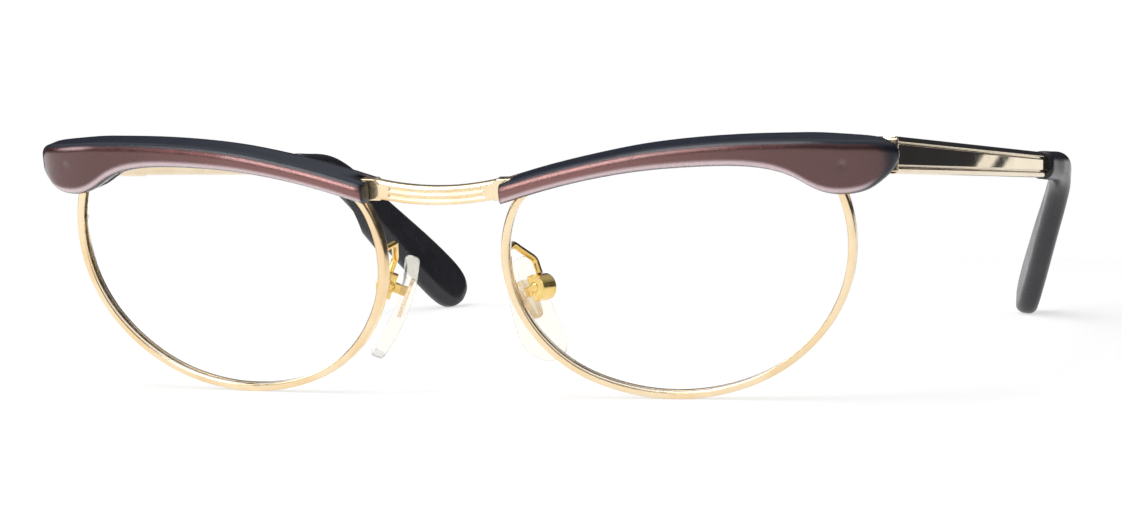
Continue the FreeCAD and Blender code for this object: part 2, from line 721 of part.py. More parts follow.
rim_lock_left = new_body("rim_lock_left", LENS_PLACE)
lock_sketch = new_sketch(
    rim_lock_left, "lock_outline",
    rectangle(block_in, block_low, block_out, split - slit_half),
    offset=shift(-seat - size("lock_depth")))
pad(rim_lock_left, "lock", lock_sketch, "sizes.lock_depth")
lock_rim = new_sketch(rim_lock_left, "lock_rim_outline", rim_outline(0))
pocket(rim_lock_left, "lock_rim_seat", lock_rim, "sizes.lock_depth + sizes.rim_depth")
lock_hole = circle_sketch(
    rim_lock_left, "lock_hole_outline", rim_screw_middle, SHANK_HOLE, "XZ_Plane", shift(-block_low))
pocket(rim_lock_left, "lock_hole", lock_hole, "sizes.block_down")
head_seat = circle_sketch(
    rim_lock_left, "head_seat_outline", rim_screw_middle, HEAD_HOLE, "XZ_Plane", shift(-block_low))
pocket(rim_lock_left, "head_seat", head_seat, "sizes.screw_head_height")
add_pair(rim_lock_left)

# Screws: slotted heads, each modelled along its own Y axis from the head to the tip


def screw(name, place, shank_radius, head_radius, length):
    """A slotted screw with a flat head; the length is from under the head to the tip."""
    body = new_body(name, place)
    head_height = size("screw_head_height")
    profile = polygon([
        (0, 0), (head_radius, 0), (head_radius, head_height), (shank_radius, head_height),
        (shank_radius, head_height + length), (0, head_height + length)])
    revolve(body, f"{name}_turned", new_sketch(body, f"{name}_profile", profile))
    slot_half = size("screw_slot") / 2
    slot_lines = rectangle(-head_radius, -slot_half, head_radius, slot_half)
    slot = new_sketch(body, f"{name}_slot_outline", slot_lines, "XZ_Plane")
    pocket(body, f"{name}_slot", slot, "sizes.screw_slot")
    return body


rim_screw_place = LENS_PLACE * Placement(Vector(rim_screw_out, block_low, screw_level), Rotation())
shank, head = size("screw_radius"), size("screw_head_radius")
rim_screw = screw("rim_screw", rim_screw_place, shank, head, size("rim_screw_length"))
add_group("rim_screws", [rim_screw])

turn_to_front = Rotation(X_AXIS, 90)
nose_head_back = -seat - size("bridge_depth") - size("screw_head_height")
nose_screw_place = LENS_PLACE * Placement(nose_screw + Vector(0, 0, nose_head_back), turn_to_front)
brow_nose_screw = screw(
    "brow_nose_screw", nose_screw_place, shank, head, size("bridge_depth") + seat + size("brow_screw_bite"))
temple_head_back = -block_back - size("screw_head_height")
temple_screw_place = LENS_PLACE * Placement(temple_screw + Vector(0, 0, temple_head_back), turn_to_front)
brow_temple_screw = screw(
    "brow_temple_screw", temple_screw_place, shank, head, block_back + size("brow_screw_bite"))
add_group("brow_screws", [brow_nose_screw, brow_temple_screw])

# Hinge: two front knuckles on a leaf behind the butt plate, one temple knuckle between them

knuckle_half = size("knuckle_height") / 2
knuckle_step = size("knuckle_height") + size("knuckle_gap")
hinge_half = knuckle_step + knuckle_half
web_half = size("knuckle_radius") * size("web_share")


def knuckle(body, name, middle, web):
    """One hinge knuckle, and the web that ties it to its leaf."""
    top = shift(-middle - knuckle_half)
    barrel = circle_sketch(body, f"{name}_barrel_outline", Vector(), ["knuckle_radius"], "XZ_Plane", top)
    pad(body, f"{name}_barrel", barrel, "sizes.knuckle_height")
    web_sketch = new_sketch(body, f"{name}_web_outline", web, "XZ_Plane", top)
    pad(body, f"{name}_web", web_sketch, "sizes.knuckle_height")


def pivot_hole(body, name):
    """The bore for the hinge screw, through every knuckle of a leaf."""
    bore = circle_sketch(
        body, f"{name}_outline", Vector(), ["pivot_radius", "pivot_clearance"],
        "XZ_Plane", shift(hinge_half))
    pocket(body, name, bore, "2 * sizes.overrun")


hinge_front_left = new_body("hinge_front_left", TEMPLE_PLACE)
leaf_back = butt_back + size("front_leaf_thickness")
front_leaf = new_sketch(
    hinge_front_left, "front_leaf_outline",
    rectangle(butt_back, butt_out - size("butt_width"), leaf_back, size("front_leaf_out")),
    "XZ_Plane", shift(-hinge_half))
pad(hinge_front_left, "front_leaf", front_leaf, "3 * sizes.knuckle_height + 2 * sizes.knuckle_gap")
for word, middle in (("upper", knuckle_step), ("lower", -knuckle_step)):
    knuckle(hinge_front_left, f"front_{word}", middle, rectangle(butt_back, -web_half, 0, web_half))
pivot_hole(hinge_front_left, "front_bore")
add_pair(hinge_front_left)

hinge_temple_left = new_body("hinge_temple_left", TEMPLE_PLACE)
leaf_in = size("temple_set_out") - size("leaf_thickness")
leaf_half = size("leaf_height") / 2
temple_leaf = new_sketch(
    hinge_temple_left, "temple_leaf_outline",
    rectangle(-web_half, -leaf_half, size("leaf_length"), leaf_half), offset=shift(leaf_in))
pad(hinge_temple_left, "temple_leaf", temple_leaf, "sizes.leaf_thickness")
knuckle(hinge_temple_left, "temple", 0, rectangle(-web_half, 0, web_half, size("temple_set_out")))
pivot_hole(hinge_temple_left, "temple_bore")
add_pair(hinge_temple_left)

pivot_top = Vector(0, hinge_half + size("screw_head_height"), 0)
pivot_place = TEMPLE_PLACE * Placement(pivot_top, Rotation(X_AXIS, 180))
hinge_screw = screw(
    "hinge_screw", pivot_place, size("pivot_radius"), size("pivot_head_radius"), 2 * hinge_half)
add_group("hinge_screws", [hinge_screw])

# Temple arm: a flat gold bar with two panel grooves, drawn down to a core wire inside the tip

temple_arm_left = new_body("temple_arm_left", TEMPLE_PLACE)
arm_front = -size("temple_ahead")
arm_end = size("temple_length")
front_half = size("temple_height") / 2
end_half = size("temple_end_height") / 2
arm_sketch = new_sketch(
    temple_arm_left, "arm_outline",
    polygon([(arm_front, -front_half), (arm_end, -end_half), (arm_end, end_half), (arm_front, front_half)]),
    offset=shift(size("temple_set_out")))
arm_bar = pad(temple_arm_left, "arm_bar", arm_sketch, "sizes.temple_thickness")
long_edges = [
    f"Edge{number}" for number, arm_edge in enumerate(arm_bar.Shape.Edges, start=1)
    if arm_edge.Length > arm_end]
arm_round = temple_arm_left.newObject("PartDesign::Fillet", "arm_round")
arm_round.Base = (arm_bar, long_edges)
arm_round.setExpression("Radius", "sizes.temple_edge_radius")
doc.recompute()
groove_outer = size("panel_groove_inset")
groove_inner = groove_outer + size("panel_groove_width")
groove_strips = []
for side in (1, -1):
    strip = [
        (arm_front, front_half - groove_outer), (arm_end, end_half - groove_outer),
        (arm_end, end_half - groove_inner), (arm_front, front_half - groove_inner)]
    groove_strips += polygon([(along, side * up) for along, up in strip])
panel = new_sketch(temple_arm_left, "panel_outline", groove_strips, offset=shift(butt_out))
pocket(temple_arm_left, "panel_grooves", panel, "sizes.panel_groove_depth")
arm_middle = size("temple_set_out") + size("temple_thickness") / 2
TIP_PLANE = Placement(Vector(0, 0, arm_middle), Rotation(X_AXIS, size("tip_inward")))
bend = size("tip_bend")
bend_lead = size("tip_bend_radius") * math.tan(math.radians(bend / 2))
bend_start = size("tip_bend_at") - bend_lead
bend_middle = Vector(bend_start, -size("tip_bend_radius"), 0)


def bend_point(angle):
    """Point of the tip's centre line where it has turned by an angle."""
    return bend_middle + Vector(sin(angle), cos(angle), 0) * size("tip_bend_radius")


def tip_turn(angle):
    """How a section of the tip stands, rolled level with the arm, where the line has turned by an angle."""
    across = Vector(sin(angle), cos(angle), 0)
    return Rotation(across, Z_AXIS, Vector(), "XYZ") * Rotation(Z_AXIS, -size("tip_inward"))


tail_direction = Vector(cos(bend), -sin(bend), 0)
tip_to_row = TEMPLE_PLACE.Rotation * TIP_PLANE.Rotation
corner_height = TEMPLE_PLACE.multVec(TIP_PLANE.multVec(Vector(size("tip_bend_at"), 0, 0))).z
tail_fall = -tip_to_row.multVec(tail_direction).z
face_up = (tip_to_row * tip_turn(bend)).multVec(Y_AXIS).z
paddle_reach = size("paddle_width") / 2 * math.sqrt(1 - face_up ** 2)
paddle_level = paddle_reach + size("tip_rest_up")
tail = (corner_height - paddle_level) / tail_fall - bend_lead + size("paddle_width") / 2


def core_path(length_share, extra):
    """Centre line from the arm's end round the bend, to a share of the tail and an extra length."""
    end = bend_point(bend) + tail_direction * (length_share * tail + extra)
    arc = Part.ArcOfCircle(
        Part.Circle(bend_middle, Z_AXIS, size("tip_bend_radius")), math.radians(90 - bend), math.pi / 2)
    return [
        Part.LineSegment(Vector(arm_end - size("core_lap"), 0, 0), Vector(bend_start, 0, 0)), arc,
        Part.LineSegment(bend_point(bend), end)]


def tip_pipe(body, name, radius, kind, extra):
    """A round pipe along the tip's centre line, as core wire or as bore."""
    path = new_sketch(body, f"{name}_path", core_path(size("core_share"), extra), offset=TIP_PLANE)
    start = Placement(Vector(arm_end - size("core_lap"), 0, 0), Rotation(Y_AXIS, 90))
    section = circle_sketch(body, f"{name}_section", Vector(), radius, offset=TIP_PLANE * start)
    feature = body.newObject(kind, name)
    feature.Profile = section
    feature.Spine = (path, ["Edge1", "Edge2", "Edge3"])
    doc.recompute()


tip_pipe(temple_arm_left, "core_wire", ["core_radius"], "PartDesign::AdditivePipe", 0)
add_pair(temple_arm_left)

# Temple tip: black acetate, oval at the arm, bent down and in, and flattened to a paddle

temple_tip_left = new_body("temple_tip_left", TEMPLE_PLACE)
tip_stations = []
widening = TIP_STATION_SHARES[0][1] * size("paddle_width") - size("tip_width")
for way_share, width_share in STRAIGHT_STATION_SHARES:
    point = Vector(arm_end + (bend_start - arm_end) * way_share, 0, 0)
    tip_stations.append((point, tip_turn(0), size("tip_width") + widening * width_share))
for turn_share, width_share in BEND_STATION_SHARES:
    turned = turn_share * bend
    width = size("tip_width") + widening * width_share
    tip_stations.append((bend_point(turned), tip_turn(turned), width))
for tail_share, width_share in TIP_STATION_SHARES:
    point = bend_point(bend) + tail_direction * (tail_share * tail)
    tip_stations.append((point, tip_turn(bend), width_share * size("paddle_width")))
tip_sketches = []
for index, (point, turn, width) in enumerate(tip_stations):
    thickness = size("tip_thickness") * min(1, math.sqrt(width / size("tip_width")))
    rounds = [thickness * size("tip_round_share")] * 4
    section = rounded_quad(-width / 2, -thickness / 2, width / 2, thickness / 2, rounds)
    tip_sketches.append(
        new_sketch(temple_tip_left, f"tip_{index}", section, offset=TIP_PLANE * Placement(point, turn)))
tip_loft = temple_tip_left.newObject("PartDesign::AdditiveLoft", "tip_loft")
tip_loft.Profile = tip_sketches[0]
tip_loft.Sections = tip_sketches[1:]
doc.recompute()
tip_pipe(
    temple_tip_left, "core_bore", ["core_radius", "core_clearance"], "PartDesign::SubtractivePipe",
    size("core_clearance"))
add_pair(temple_tip_left)

# Pad box: a small round-backed box, open towards the nose, that holds the pad's lug on a cross pin

pad_box_left = new_body("pad_box_left", PAD_PLACE)
half_box = size("box_width") / 2
half_tall = size("box_height") / 2
mouth = size("box_mouth")
back = -size("box_back")
round_start = back + size("box_round_share") * half_tall
box_arc = Part.Arc(Vector(half_tall, round_start, 0), Vector(0, back, 0), Vector(-half_tall, round_start, 0))
box_lines = polygon(
    [(-half_tall, round_start), (-half_tall, mouth), (half_tall, mouth), (half_tall, round_start)])
box_sketch = new_sketch(pad_box_left, "box_profile", box_lines[:3] + [box_arc], "YZ_Plane", shift(-half_box))
pad(pad_box_left, "box_shell", box_sketch, "sizes.box_width")
wall = size("box_wall")
inside_lines = rectangle(wall - half_box, wall - half_tall, half_box - wall, half_tall - wall)
inside = new_sketch(pad_box_left, "box_inside_outline", inside_lines, offset=shift(mouth))
inside_depth = "sizes.box_mouth + sizes.core_lug_radius + 2 * sizes.lug_clearance"
pocket(pad_box_left, "box_inside", inside, inside_depth)
pin_bore = circle_sketch(
    pad_box_left, "pin_bore_outline", Vector(), ["pin_radius"], "YZ_Plane", shift(half_box))
pocket(pad_box_left, "pin_bore", pin_bore, "sizes.box_width")
add_pair(pad_box_left)

# Pad pin: the cross pin, riveted over into a low head at both cheeks

pad_pin = new_body("pad_pin", PAD_PLACE * Placement(Vector(), Rotation(Z_AXIS, -90)))
head_start = half_box
head_end = half_box + size("pin_head_height")
head_radius = size("pin_head_radius")
rim_radius = head_radius * size("pin_head_share")
pin_profile = new_sketch(pad_pin, "pin_profile", polygon([
    (0, -head_end), (rim_radius, -head_end), (head_radius, -head_start), (size("pin_radius"), -head_start),
    (size("pin_radius"), head_start), (head_radius, head_start), (rim_radius, head_end), (0, head_end)]))
revolve(pad_pin, "pin_turned", pin_profile)
add_group("pad_pins", [pad_pin])

# Pad core: the metal lug that rocks on the pin, with a plate inside the pad

pad_core_left = new_body("pad_core_left", PAD_PLACE)
lug_half = half_box - wall - size("lug_clearance")
plate_level = size("pad_stand_off") + size("pad_thickness") / 2
lug_radius = size("core_lug_radius")
neck_half = lug_radius * size("web_share")
core_lug = circle_sketch(
    pad_core_left, "core_lug_outline", Vector(), ["core_lug_radius"], "YZ_Plane", shift(-lug_half))
core_lug_width = "sizes.box_width - 2 * sizes.box_wall - 2 * sizes.lug_clearance"
pad(pad_core_left, "core_lug", core_lug, core_lug_width)
neck = new_sketch(
    pad_core_left, "neck_outline", rectangle(-neck_half, 0, neck_half, plate_level),
    "YZ_Plane", shift(-lug_half))
pad(pad_core_left, "neck", neck, core_lug_width)
plate_low = -size("core_plate_length") * size("core_plate_low_share")
plate_half = size("core_plate_width") / 2
plate_edges = [plate_half * size("web_share")] * 4
plate = new_sketch(
    pad_core_left, "plate_outline",
    rounded_quad(-plate_half, plate_low, plate_half, plate_low + size("core_plate_length"), plate_edges),
    offset=shift(plate_level - size("core_plate_thickness") / 2))
pad(pad_core_left, "plate", plate, "sizes.core_plate_thickness")
core_bore = circle_sketch(
    pad_core_left, "core_bore_outline", Vector(), ["pin_radius", "pivot_clearance"],
    "YZ_Plane", shift(half_box))
pocket(pad_core_left, "core_pin_bore", core_bore, "sizes.box_width")
add_pair(pad_core_left)

# Nose pad: a clear oval, curved to the nose, moulded round the core's plate

pad_blank = new_body("pad_blank", PAD_PLACE)
curve = size("pad_curve")
pad_low = -size("pad_drop") - size("pad_length") / 2
pad_high = pad_low + size("pad_length")
curve_middle = Vector(-size("pad_drop"), size("pad_stand_off") + size("pad_thickness") - curve, 0)
lean = math.asin(size("pad_length") / 2 / (curve - size("pad_thickness")))
outer = Part.ArcOfCircle(Part.Circle(curve_middle, Z_AXIS, curve), math.pi / 2 - lean, math.pi / 2 + lean)
inner = Part.ArcOfCircle(
    Part.Circle(curve_middle, Z_AXIS, curve - size("pad_thickness")), math.pi / 2 - lean, math.pi / 2 + lean)
band = [
    outer, Part.LineSegment(outer.EndPoint, inner.EndPoint), inner,
    Part.LineSegment(inner.StartPoint, outer.StartPoint)]
band_sketch = new_sketch(pad_blank, "band_profile", band, "YZ_Plane", shift(-size("pad_width") / 2))
pad(pad_blank, "band", band_sketch, "sizes.pad_width")
half_wide = size("pad_width") / 2
oval_low = pad_low + half_wide
oval_high = pad_high - half_wide * size("pad_top_share")
top_half = half_wide * size("pad_top_share")
oval = [
    Part.ArcOfCircle(Part.Circle(Vector(0, oval_low, 0), Z_AXIS, half_wide), math.pi, 2 * math.pi),
    Part.LineSegment(Vector(half_wide, oval_low, 0), Vector(top_half, oval_high, 0)),
    Part.ArcOfCircle(Part.Circle(Vector(0, oval_high, 0), Z_AXIS, top_half), 0, math.pi),
    Part.LineSegment(Vector(-top_half, oval_high, 0), Vector(-half_wide, oval_low, 0))]
frame_lines = rectangle(-half_wide - over, pad_low - over, half_wide + over, pad_high + over)
trim = new_sketch(pad_blank, "trim_outline", frame_lines + oval, offset=shift(plate_level + over))
pocket(pad_blank, "trim", trim, "4 * sizes.overrun")
pad_round = doc.addObject("Part::Fillet", "pad_round")
pad_round.Base = pad_blank
pad_edge = size("pad_edge_radius")
pad_round.Edges = [(number, pad_edge, pad_edge) for number in range(1, len(pad_blank.Shape.Edges) + 1)]
doc.recompute()
nose_pad_left = doc.addObject("Part::Cut", "nose_pad_left")
nose_pad_left.Label = "nose_pad_left"
nose_pad_left.Base = pad_round
nose_pad_left.Tool = pad_core_left
add_pair(nose_pad_left)

# Pad arm: a wire soldered behind the rim, bent back and down to the top of the pad box


def rounded_path(points, radius):
    """Straight runs through the points, joined by arcs of one radius."""
    edges = []
    start = points[0]
    for before, corner, after in zip(points, points[1:], points[2:]):
        arrive = (corner - before).normalize()
        leave = (after - corner).normalize()
        turn = arrive.getAngle(leave)
        lead = radius * math.tan(turn / 2)
        first, last = corner - arrive * lead, corner + leave * lead
        inward = (leave - arrive).normalize()
        middle = corner + inward * (radius / math.cos(turn / 2) - radius)
        edges.append(Part.LineSegment(start, first).toShape())
        edges.append(Part.Arc(first, middle, last).toShape())
        start = last
    edges.append(Part.LineSegment(start, points[-1]).toShape())
    return Part.Wire(edges)


first_bend = LENS_PLACE.multVec(WIRE_MIDDLE - Vector(0, 0, deep + size("arm_reach")))
arm_level = (mouth + back) / 2
second_bend = PAD_PLACE.multVec(Vector(0, half_tall + size("arm_drop"), arm_level))
box_top = PAD_PLACE.multVec(Vector(0, half_tall, arm_level))
arm_path = rounded_path([ARM_FOOT, first_bend, second_bend, box_top], size("arm_bend_radius"))
arm_section = Part.Wire(Part.Circle(ARM_FOOT, first_bend - ARM_FOOT, size("arm_radius")).toShape())
pad_arm_left = doc.addObject("Part::Feature", "pad_arm_left")
pad_arm_left.Label = "pad_arm_left"
pad_arm_left.Shape = arm_path.makePipeShell([arm_section], True, False)
add_pair(pad_arm_left)

# Check and write every sub-part

doc.recompute()
failed = [thing.Name for thing in doc.Objects if "Invalid" in thing.State or "Error" in thing.State]
for piece in sub_parts:
    if piece.Shape.isNull() or not piece.Shape.isValid():
        failed.append(piece.Label)
if failed:
    raise RuntimeError(f"failed: {failed}")
os.makedirs("parts", exist_ok=True)
for piece in sub_parts:
    piece.Shape.exportStep(f"parts/{piece.Label}.step")
    print(piece.Label, len(piece.Shape.Solids), round(piece.Shape.Volume, 2))
print("hinge", HINGE_POINT, ACROSS_TEMPLE)
print("pad pin", PIN_POINT, PIN_LINE)
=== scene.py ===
import math

import bpy
from mathutils import Matrix, Vector


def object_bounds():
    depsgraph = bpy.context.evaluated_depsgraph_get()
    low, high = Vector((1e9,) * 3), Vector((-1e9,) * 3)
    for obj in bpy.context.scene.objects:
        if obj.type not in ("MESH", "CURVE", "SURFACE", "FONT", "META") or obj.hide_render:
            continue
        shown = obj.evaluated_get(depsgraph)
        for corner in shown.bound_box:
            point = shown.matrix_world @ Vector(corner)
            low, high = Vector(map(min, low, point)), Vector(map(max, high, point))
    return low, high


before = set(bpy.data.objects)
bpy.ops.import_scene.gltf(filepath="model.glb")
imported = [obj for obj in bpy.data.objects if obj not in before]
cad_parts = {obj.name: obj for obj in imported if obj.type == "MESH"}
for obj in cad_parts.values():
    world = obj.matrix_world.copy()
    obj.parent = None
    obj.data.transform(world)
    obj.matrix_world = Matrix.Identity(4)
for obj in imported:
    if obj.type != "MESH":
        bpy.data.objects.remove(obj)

CAD_LOW, CAD_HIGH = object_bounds()


# The table and the light.
# A white sheet on a table, three soft lamps over it, white cards behind, and a long lens
# a little to the wearer's left and above the frame, as the photograph was taken.
CAMERA_PLACE = (0.224585, -0.607171, 0.069464)
CAMERA_YAW = math.radians(20.833)
CAMERA_PITCH = math.radians(4.852)
CAMERA_ROLL = math.radians(-1.447)
PHOTO_WIDTH = 1122
FOCAL_PIXELS = 4063.8
SENSOR_WIDTH = 36.0
SHEET_WHITE = (0.44, 0.44, 0.44, 1.0)
SHEET_GLOW = 0.60
MIRRORED_GLOW_SHARE = 0.90
SHEET_LOW = (-1.20, -1.60)
SHEET_HIGH = (1.20, 0.17)
ROOM_WHITE = (1.0, 1.0, 1.0, 1.0)
ROOM_FILL = (0.42, 0.42, 0.43, 1.0)
ROOM_DARK = (0.030, 0.032, 0.040, 1.0)
ROOM_OVERHEAD = (0.50, 0.50, 0.52, 1.0)
OVERHEAD_FROM = 0.30
OVERHEAD_FULL = 0.80
LAMPS = {
    "lamp_over": dict(place=(-0.20, -0.25, 0.80), aim=(0.0, -0.02, 0.02), size=0.50, power=3.6),
    "lamp_front": dict(place=(-0.42, -1.05, 0.50), aim=(0.0, -0.05, 0.02), size=0.45, power=4.0),
    "lamp_side": dict(place=(-0.75, -0.40, 0.40), aim=(0.0, -0.05, 0.02), size=0.35, power=2.0),
}
CARD_BACK = 0.35
CARD_FOOT = -0.030
CARD_TOP = 0.024
CARD_SLANT = 0.0362
PALE_LEFT = -0.300
PALE_RIGHT = 0.1818
STREAK_LEFT = 0.1847
STREAK_RIGHT = 0.1886
CARDS = {
    "card_pale": [(PALE_LEFT, CARD_FOOT), (PALE_RIGHT, CARD_FOOT),
                  (PALE_RIGHT - CARD_SLANT, CARD_TOP), (PALE_LEFT, CARD_TOP)],
    "card_streak": [(STREAK_LEFT, CARD_FOOT), (STREAK_RIGHT, CARD_FOOT),
                    (STREAK_RIGHT - CARD_SLANT, CARD_TOP), (STREAK_LEFT - CARD_SLANT, CARD_TOP)],
}


def new_material(name):
    """A material with an empty node tree and its output: gives the material, the tree and the output."""
    material = bpy.data.materials.new(name)
    material.use_nodes = True
    tree = material.node_tree
    tree.nodes.clear()
    return material, tree, tree.nodes.new("ShaderNodeOutputMaterial")


def feed(tree, socket, value):
    """Set a socket to a fixed value, or join another node's result to it."""
    if isinstance(value, bpy.types.NodeSocket):
        tree.links.new(value, socket)
    else:
        socket.default_value = value


def reckon(tree, operation, *values):
    """One step of arithmetic on values, each a number or a node's result."""
    step = tree.nodes.new("ShaderNodeMath")
    step.operation = operation
    for socket, value in zip(step.inputs, values):
        feed(tree, socket, value)
    return step.outputs[0]


def spread(tree, value, low, high, from_low=0.3, from_high=0.7):
    """The value stretched smoothly from its own range, by default a cloud's middle, to two levels."""
    reach = tree.nodes.new("ShaderNodeMapRange")
    reach.interpolation_type = "SMOOTHSTEP"
    reach.inputs["From Min"].default_value = from_low
    reach.inputs["From Max"].default_value = from_high
    reach.inputs["To Min"].default_value = low
    reach.inputs["To Max"].default_value = high
    tree.links.new(value, reach.inputs["Value"])
    return reach.outputs["Result"]


def seen_directly(tree, mirrored):
    """One for camera and see-through rays, a share for mirrored ones, and nothing for spread light."""
    path = tree.nodes.new("ShaderNodeLightPath")
    through = reckon(tree, "MAXIMUM", path.outputs["Is Camera Ray"], path.outputs["Is Transmission Ray"])
    reflected = reckon(tree, "MULTIPLY", path.outputs["Is Glossy Ray"], mirrored)
    return reckon(tree, "MAXIMUM", through, reflected)


def white_sheet():
    """A matt white sheet with a glow added where it is seen directly, so that shadows stay faint."""
    material, tree, output = new_material("white_sheet")
    matt = tree.nodes.new("ShaderNodeBsdfDiffuse")
    matt.inputs["Color"].default_value = SHEET_WHITE
    glow = tree.nodes.new("ShaderNodeEmission")
    feed(tree, glow.inputs["Strength"],
         reckon(tree, "MULTIPLY", seen_directly(tree, MIRRORED_GLOW_SHARE), SHEET_GLOW))
    both = tree.nodes.new("ShaderNodeAddShader")
    tree.links.new(matt.outputs[0], both.inputs[0])
    tree.links.new(glow.outputs[0], both.inputs[1])
    tree.links.new(both.outputs[0], output.inputs["Surface"])
    return material


def stage_piece(name, corners, material):
    """A flat four-cornered piece of the stage."""
    mesh = bpy.data.meshes.new(name)
    mesh.from_pydata(corners, [], [(0, 1, 2, 3)])
    mesh.materials.append(material)
    piece = bpy.data.objects.new(name, mesh)
    bpy.context.scene.collection.objects.link(piece)
    return piece


def lay_sheet():
    """The sheet lies in the plane of the lowest point of the glasses and ends a little behind them."""
    (left, near), (right, far) = SHEET_LOW, SHEET_HIGH
    outline = [(left, near), (right, near), (right, far), (left, far)]
    stage_piece("sheet", [(across, back, CAD_LOW.z) for across, back in outline], white_sheet())


def stand_cards():
    """White cards behind the glasses, seen only as reflections in the temple and its tip."""
    material, tree, output = new_material("white_card")
    glow = tree.nodes.new("ShaderNodeEmission")
    tree.links.new(glow.outputs[0], output.inputs["Surface"])
    for name, corners in CARDS.items():
        card = stage_piece(name, [(across, CARD_BACK, up) for across, up in corners], material)
        card.visible_camera = False
        card.visible_diffuse = False
        card.visible_transmission = False
        card.visible_shadow = False


def room_light():
    """White where the camera looks, grey for spread light, and dark in mirrors except overhead."""
    world = bpy.data.worlds.new("room")
    bpy.context.scene.world = world
    world.use_nodes = True
    tree = world.node_tree
    tree.nodes.clear()
    output = tree.nodes.new("ShaderNodeOutputWorld")
    path = tree.nodes.new("ShaderNodeLightPath")
    coords = tree.nodes.new("ShaderNodeTexCoord")
    split = tree.nodes.new("ShaderNodeSeparateXYZ")
    tree.links.new(coords.outputs["Generated"], split.inputs[0])
    climb = spread(tree, split.outputs["Z"], 0.0, 1.0, OVERHEAD_FROM, OVERHEAD_FULL)
    fill, dark, overhead, white = (tree.nodes.new("ShaderNodeBackground") for _ in range(4))
    fill.inputs["Color"].default_value = ROOM_FILL
    dark.inputs["Color"].default_value = ROOM_DARK
    overhead.inputs["Color"].default_value = ROOM_OVERHEAD
    white.inputs["Color"].default_value = ROOM_WHITE
    room, mirrored, both = (tree.nodes.new("ShaderNodeMixShader") for _ in range(3))
    for mix, share, first, second in (
            (room, climb, dark, overhead),
            (mirrored, path.outputs["Is Glossy Ray"], fill, room),
            (both, seen_directly(tree, 0.0), mirrored, white)):
        tree.links.new(share, mix.inputs["Fac"])
        tree.links.new(first.outputs[0], mix.inputs[1])
        tree.links.new(second.outputs[0], mix.inputs[2])
    tree.links.new(both.outputs[0], output.inputs["Surface"])


def hang_lamp(name, place, aim, size, power):
    """A square soft lamp at a place, turned towards the point it lights."""
    lamp = bpy.data.lights.new(name, "AREA")
    lamp.size = size
    lamp.energy = power
    holder = bpy.data.objects.new(name, lamp)
    holder.location = place
    holder.rotation_euler = (Vector(aim) - Vector(place)).to_track_quat("-Z", "Y").to_euler()
    bpy.context.scene.collection.objects.link(holder)


def set_camera():
    """The camera, turned about the upright, tipped from level, and rolled about its line of sight."""
    data = bpy.data.cameras.new("camera")
    data.sensor_width = SENSOR_WIDTH
    data.sensor_fit = "HORIZONTAL"
    data.lens = SENSOR_WIDTH * FOCAL_PIXELS / PHOTO_WIDTH
    camera = bpy.data.objects.new("camera", data)
    yaw = Matrix.Rotation(CAMERA_YAW, 4, "Z")
    pitch = Matrix.Rotation(math.pi / 2 - CAMERA_PITCH, 4, "X")
    roll = Matrix.Rotation(CAMERA_ROLL, 4, "Z")
    camera.matrix_world = Matrix.Translation(CAMERA_PLACE) @ yaw @ pitch @ roll
    bpy.context.scene.collection.objects.link(camera)
    bpy.context.scene.camera = camera


bpy.context.scene.view_settings.view_transform = "Standard"
lay_sheet()
stand_cards()
room_light()
for lamp_name, lamp_sizes in LAMPS.items():
    hang_lamp(lamp_name, **lamp_sizes)
set_camera()


# The two rims.
# Grooved wire, rolled gold over nickel silver, bent round each lens and split
# at the temporal corner. The wire is polished, with a little haze from wear.
MM = 0.001
RIM_PALE = (0.98, 0.80, 0.54, 1.0)
RIM_DEEP = (0.93, 0.70, 0.42, 1.0)
RIM_GLOSS = (0.14, 0.26)
RIM_EDGE = 0.45 * MM
EDGE_SAMPLES = 8
GOLD_TONE_WAVES = 160.0
GOLD_HAZE_WAVES = 620.0
GOLD_HAZE_DETAIL = 5.0
GOLD_GRAIN_WAVES = 2600.0
GOLD_GRAIN_DEPTH = 0.0015 * MM


def principled(tree, output):
    """One shader joined to the output."""
    shader = tree.nodes.new("ShaderNodeBsdfPrincipled")
    tree.links.new(shader.outputs[0], output.inputs["Surface"])
    return shader


def cloud(tree, waves, detail=3.0):
    """Soft noise fixed to the piece, with so many waves to the metre."""
    coords = tree.nodes.new("ShaderNodeTexCoord")
    noise = tree.nodes.new("ShaderNodeTexNoise")
    noise.inputs["Scale"].default_value = waves
    noise.inputs["Detail"].default_value = detail
    tree.links.new(coords.outputs["Object"], noise.inputs["Vector"])
    return noise.outputs["Fac"]


def two_tones(tree, share, first, second):
    """A colour that goes from the first tone to the second with the share."""
    mix = tree.nodes.new("ShaderNodeMix")
    mix.data_type = "RGBA"
    tree.links.new(share, mix.inputs["Factor"])
    tones = [socket for socket in mix.inputs if socket.type == "RGBA"]
    feed(tree, tones[0], first)
    feed(tree, tones[1], second)
    return next(socket for socket in mix.outputs if socket.type == "RGBA")


def soft_edges(tree, radius):
    """The surface's direction, rounded over the edges as tumbling and wear leave them."""
    rounded = tree.nodes.new("ShaderNodeBevel")
    rounded.samples = EDGE_SAMPLES
    rounded.inputs["Radius"].default_value = radius
    return rounded.outputs["Normal"]


def fine_relief(tree, shader, value, depth, normal):
    """A relief so many metres deep, seen in the reflections only."""
    bump = tree.nodes.new("ShaderNodeBump")
    bump.inputs["Distance"].default_value = depth
    tree.links.new(value, bump.inputs["Height"])
    tree.links.new(normal, bump.inputs["Normal"])
    tree.links.new(bump.outputs["Normal"], shader.inputs["Normal"])


